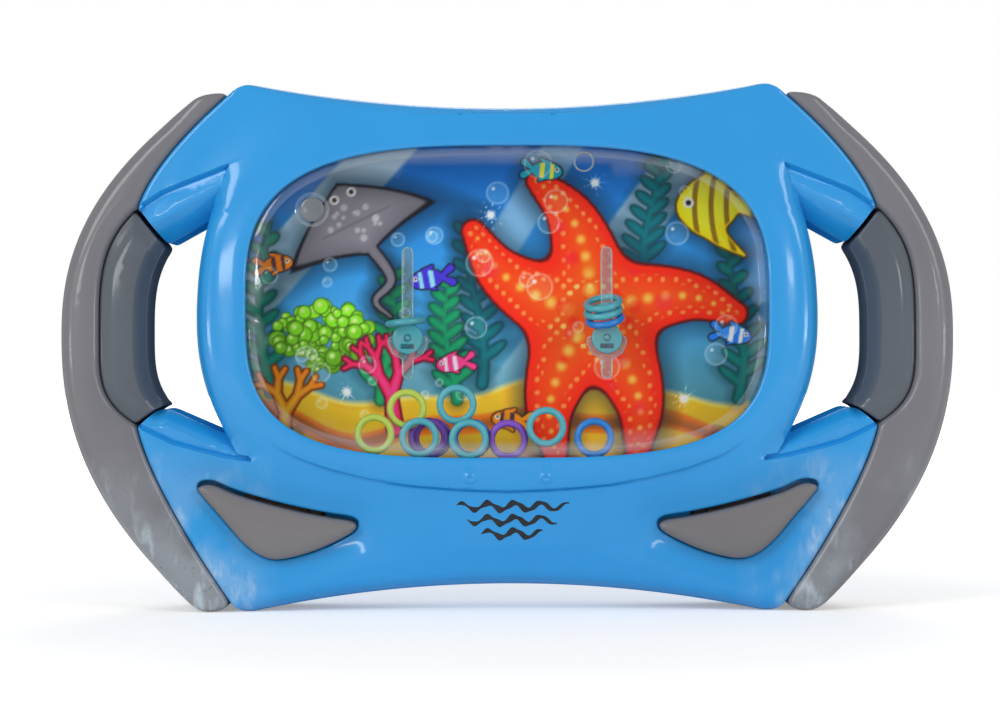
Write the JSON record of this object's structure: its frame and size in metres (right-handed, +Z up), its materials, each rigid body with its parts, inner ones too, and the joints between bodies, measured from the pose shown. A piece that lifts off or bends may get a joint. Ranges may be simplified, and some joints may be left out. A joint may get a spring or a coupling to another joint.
{
  "type": "handheld water game",
  "caption": "Handheld water ring-toss game: clear tank in a two-part case, side handles with finger gaps, two sprung pump buttons, loose rings and two pegs.",
  "frame": {"origin": "middle of the bounding box's foot, with the game standing upright on its two lower corners", "axes": "+X to the right across the handles, +Z up the front, +Y from the window to the back"},
  "size_m": [0.2176, 0.032, 0.1281],
  "materials": {
    "blue_plastic": "glossy moulded, fine scratches",
    "grey_plastic": "glossy moulded grey",
    "slate_plastic": "glossy moulded slate",
    "button_plastic": "satin moulded warm grey",
    "clear_plastic": "clear, polished",
    "printed_card": "printed underwater scene",
    "ring_teal": "translucent moulded",
    "ring_lime": "translucent moulded",
    "ring_purple": "translucent moulded",
    "ring_royal": "translucent moulded",
    "soft_rubber": "soft matt",
    "inner_plastic": "plain moulded",
    "screw_steel": "zinc plated"
  },
  "bodies": {
    "case": {"front_shell": "blue_plastic", "rear_shell": "blue_plastic", "tank_front": "clear_plastic", "tank_back": "clear_plastic", "backdrop_card": "printed_card", "filler_plug": "grey_plastic", "left_handle": "grey_plastic", "left_grip": "slate_plastic", "left_peg": "clear_plastic", "left_peg_boss": "ring_teal", "left_pump_bellows": "soft_rubber", "left_bellows_ring": "inner_plastic", "left_pump_cup": "inner_plastic", "left_nozzle": "inner_plastic", "right_handle": "grey_plastic", "right_grip": "slate_plastic", "right_peg": "clear_plastic", "right_peg_boss": "ring_teal", "right_pump_bellows": "soft_rubber", "right_bellows_ring": "inner_plastic", "right_pump_cup": "inner_plastic", "right_nozzle": "inner_plastic", "case_screw_left_1": "screw_steel", "case_screw_left_2": "screw_steel", "case_screw_left_3": "screw_steel", "case_screw_left_4": "screw_steel", "case_screw_right_1": "screw_steel", "case_screw_right_2": "screw_steel", "case_screw_right_3": "screw_steel", "case_screw_right_4": "screw_steel"},
    "left_button_body": {"left_button": "button_plastic"},
    "right_button_body": {"right_button": "button_plastic"},
    "fallen_ring_1_body": {"fallen_ring_1": "ring_lime"},
    "fallen_ring_2_body": {"fallen_ring_2": "ring_lime"},
    "fallen_ring_3_body": {"fallen_ring_3": "ring_teal"},
    "fallen_ring_4_body": {"fallen_ring_4": "ring_purple"},
    "fallen_ring_5_body": {"fallen_ring_5": "ring_purple"},
    "fallen_ring_6_body": {"fallen_ring_6": "ring_teal"},
    "fallen_ring_7_body": {"fallen_ring_7": "ring_teal"},
    "fallen_ring_8_body": {"fallen_ring_8": "ring_royal"},
    "fallen_ring_9_body": {"fallen_ring_9": "ring_purple"},
    "fallen_ring_10_body": {"fallen_ring_10": "ring_teal"},
    "fallen_ring_11_body": {"fallen_ring_11": "ring_royal"},
    "left_peg_ring_body": {"left_peg_ring": "ring_teal"},
    "right_peg_ring_1_body": {"right_peg_ring_1": "ring_royal"},
    "right_peg_ring_2_body": {"right_peg_ring_2": "ring_teal"},
    "right_peg_ring_3_body": {"right_peg_ring_3": "ring_teal"}
  },
  "joints": [
    {"name": "left_button_press", "type": "slide", "parent": "case", "child": "left_button_body", "axis": [0, 1, 0], "range_m": [0, 0.0035], "stiffness_N_per_m": 300, "deforming": ["left_pump_bellows"]},
    {"name": "right_button_press", "type": "slide", "parent": "case", "child": "right_button_body", "axis": [0, 1, 0], "range_m": [0, 0.0035], "stiffness_N_per_m": 300, "deforming": ["right_pump_bellows"]},
    {"name": "fallen_ring_1_rise", "type": "slide", "parent": "case", "child": "fallen_ring_1_body", "axis": [0, 0, 1], "range_m": [0, 0.061]},
    {"name": "fallen_ring_2_rise", "type": "slide", "parent": "case", "child": "fallen_ring_2_body", "axis": [0, 0, 1], "range_m": [0, 0.014]},
    {"name": "fallen_ring_3_rise", "type": "slide", "parent": "case", "child": "fallen_ring_3_body", "axis": [0, 0, 1], "range_m": [0, 0.062]},
    {"name": "fallen_ring_4_rise", "type": "slide", "parent": "case", "child": "fallen_ring_4_body", "axis": [0, 0, 1], "range_m": [0, 0.015]},
    {"name": "fallen_ring_5_rise", "type": "slide", "parent": "case", "child": "fallen_ring_5_body", "axis": [0, 0, 1], "range_m": [0, 0.009]},
    {"name": "fallen_ring_6_rise", "type": "slide", "parent": "case", "child": "fallen_ring_6_body", "axis": [0, 0, 1], "range_m": [0, 0.054]},
    {"name": "fallen_ring_7_rise", "type": "slide", "parent": "case", "child": "fallen_ring_7_body", "axis": [0, 0, 1], "range_m": [0, 0.062]},
    {"name": "fallen_ring_8_rise", "type": "slide", "parent": "case", "child": "fallen_ring_8_body", "axis": [0, 0, 1], "range_m": [0, 0.062]},
    {"name": "fallen_ring_9_rise", "type": "slide", "parent": "case", "child": "fallen_ring_9_body", "axis": [0, 0, 1], "range_m": [0, 0.063]},
    {"name": "fallen_ring_10_rise", "type": "slide", "parent": "case", "child": "fallen_ring_10_body", "axis": [0, 0, 1], "range_m": [0, 0.06]},
    {"name": "fallen_ring_11_rise", "type": "slide", "parent": "case", "child": "fallen_ring_11_body", "axis": [0, 0, 1], "range_m": [0, 0.062]},
    {"name": "left_peg_ring_rise", "type": "slide", "parent": "case", "child": "left_peg_ring_body", "axis": [0, 0, 1], "range_m": [0, 0.024]},
    {"name": "right_peg_ring_1_rise", "type": "slide", "parent": "case", "child": "right_peg_ring_1_body", "axis": [0, 0, 1], "range_m": [0, 0.01]},
    {"name": "right_peg_ring_2_rise", "type": "slide", "parent": "right_peg_ring_1_body", "child": "right_peg_ring_2_body", "axis": [0, 0, 1], "range_m": [0, 0.009]},
    {"name": "right_peg_ring_3_rise", "type": "slide", "parent": "right_peg_ring_2_body", "child": "right_peg_ring_3_body", "axis": [0, 0, 1], "range_m": [0, 0.016]}
  ]
}
